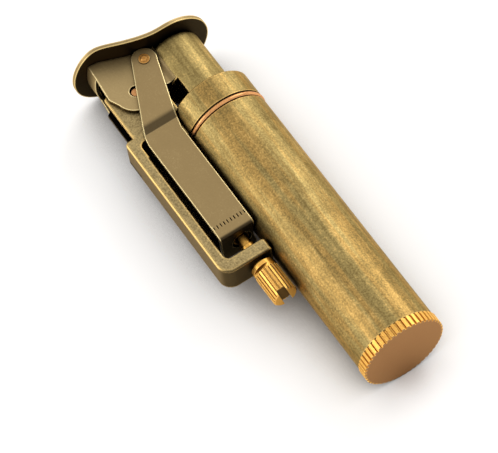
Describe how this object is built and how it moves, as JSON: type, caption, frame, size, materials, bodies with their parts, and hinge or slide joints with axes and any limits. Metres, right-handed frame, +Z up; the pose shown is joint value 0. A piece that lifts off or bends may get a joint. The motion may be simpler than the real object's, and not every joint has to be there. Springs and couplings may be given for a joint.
{
  "type": "semi-automatic petrol lighter",
  "caption": "Tubular petrol lighter with a thumb lever that lifts the snuffer and turns the flint wheel, a spring-loaded yoke, a knurled flint screw and a screw-in filler cap.",
  "frame": {"origin": "centre of the footprint, on the surface the lighter lies on", "axes": "+X along the tank from the filler cap to the lid, +Y from the tank towards the lever, bar and screw side, +Z up out of the surface it lies on"},
  "size_m": [0.0812, 0.0268, 0.0164],
  "materials": {
    "tank_tube": "aged satin",
    "tank_head": "aged satin",
    "joint_ring": "bright copper tone",
    "base_insert": "turned",
    "filler_gasket": "matt",
    "filler_cap": "knurled",
    "cotton_packing": "fibrous",
    "wick": "braided",
    "wick_tube": "turned",
    "frame": "aged satin with worn edges",
    "pivot_pin": "copper tone",
    "spring_seat": "aged",
    "flint_tube": "turned",
    "return_spring": "drawn wire",
    "wheel_spacer": "turned",
    "flint_screw": "bright knurled",
    "flint_spring": "drawn wire",
    "flint_plunger": "turned",
    "flint": "sintered",
    "flint_wheel": "hardened, cut teeth",
    "ratchet_wheel": "stamped",
    "lever_frame": "aged satin with worn edges",
    "lid_plate": "aged satin with worn edges",
    "snuffer_cup": "aged satin",
    "ratchet_pawl": "spring steel",
    "yoke": "aged satin with worn edges",
    "yoke_rivets": "bright"
  },
  "bodies": {
    "tank": {"tank_tube": "tank_tube", "tank_head": "tank_head", "joint_ring": "joint_ring", "base_insert": "base_insert", "cotton_packing": "cotton_packing", "wick": "wick", "wick_tube": "wick_tube", "frame": "frame", "pivot_pin": "pivot_pin", "spring_seat": "spring_seat", "flint_tube": "flint_tube", "return_spring": "return_spring", "wheel_spacer": "wheel_spacer"},
    "cap_gasket": {"filler_gasket": "filler_gasket"},
    "cap": {"filler_cap": "filler_cap"},
    "screw_spring": {"flint_spring": "flint_spring"},
    "screw": {"flint_screw": "flint_screw"},
    "flint_stack": {"flint": "flint", "flint_plunger": "flint_plunger"},
    "wheel": {"flint_wheel": "flint_wheel", "ratchet_wheel": "ratchet_wheel"},
    "lever": {"lever_frame": "lever_frame", "lid_plate": "lid_plate", "snuffer_cup": "snuffer_cup", "ratchet_pawl": "ratchet_pawl", "yoke_rivets": "yoke_rivets"},
    "yoke": {"yoke": "yoke"}
  },
  "joints": [
    {"name": "lever_pivot", "type": "hinge", "parent": "tank", "child": "lever", "pos_m": [0.03015, 0.0056, 0.0082], "axis": [0, 0, 1], "range_deg": [0, 38], "stiffness_Nm_per_rad": 0.05, "springref_deg": -20.05, "deforming": ["return_spring"]},
    {"name": "yoke_link", "type": "hinge", "parent": "lever", "child": "yoke", "pos_m": [0.0344, 0.00095, 0.0082], "axis": [0, 0, 1], "range_deg": [-40, 0]},
    {"name": "flint_wheel_spin", "type": "hinge", "parent": "tank", "child": "wheel", "pos_m": [0.03015, 0.0056, 0.0082], "axis": [0, 0, 1], "range_deg": [0, 38]},
    {"name": "flint_feed", "type": "slide", "parent": "tank", "child": "flint_stack", "axis": [-1, 0, 0], "range_m": [0, 0.001], "stiffness_N_per_m": 300, "springref_m": -0.004, "deforming": ["flint_spring"]},
    {"name": "flint_screw_travel", "type": "slide", "parent": "tank", "child": "screw_spring", "axis": [-1, 0, 0], "range_m": [0, 0.004], "deforming": ["flint_spring"]},
    {"name": "flint_screw_turn", "type": "hinge", "parent": "screw_spring", "child": "screw", "pos_m": [-0.01055, 0.0056, 0.0082], "axis": [-1, 0, 0], "range_deg": [0, 2880]},
    {"name": "cap_travel", "type": "slide", "parent": "tank", "child": "cap_gasket", "axis": [-1, 0, 0], "range_m": [0, 0.005]},
    {"name": "cap_turn", "type": "hinge", "parent": "cap_gasket", "child": "cap", "pos_m": [-0.03955, -0.0052, 0.0082], "axis": [-1, 0, 0], "range_deg": [0, 1800]}
  ],
  "couplings": [
    {"joint": "yoke_link", "follows": "lever_pivot", "ratio": -0.8618},
    {"joint": "flint_wheel_spin", "follows": "lever_pivot", "ratio": 1},
    {"joint": "flint_screw_turn", "follows": "flint_screw_travel", "rad_per_m": 12566},
    {"joint": "cap_turn", "follows": "cap_travel", "rad_per_m": 6283.2}
  ]
}
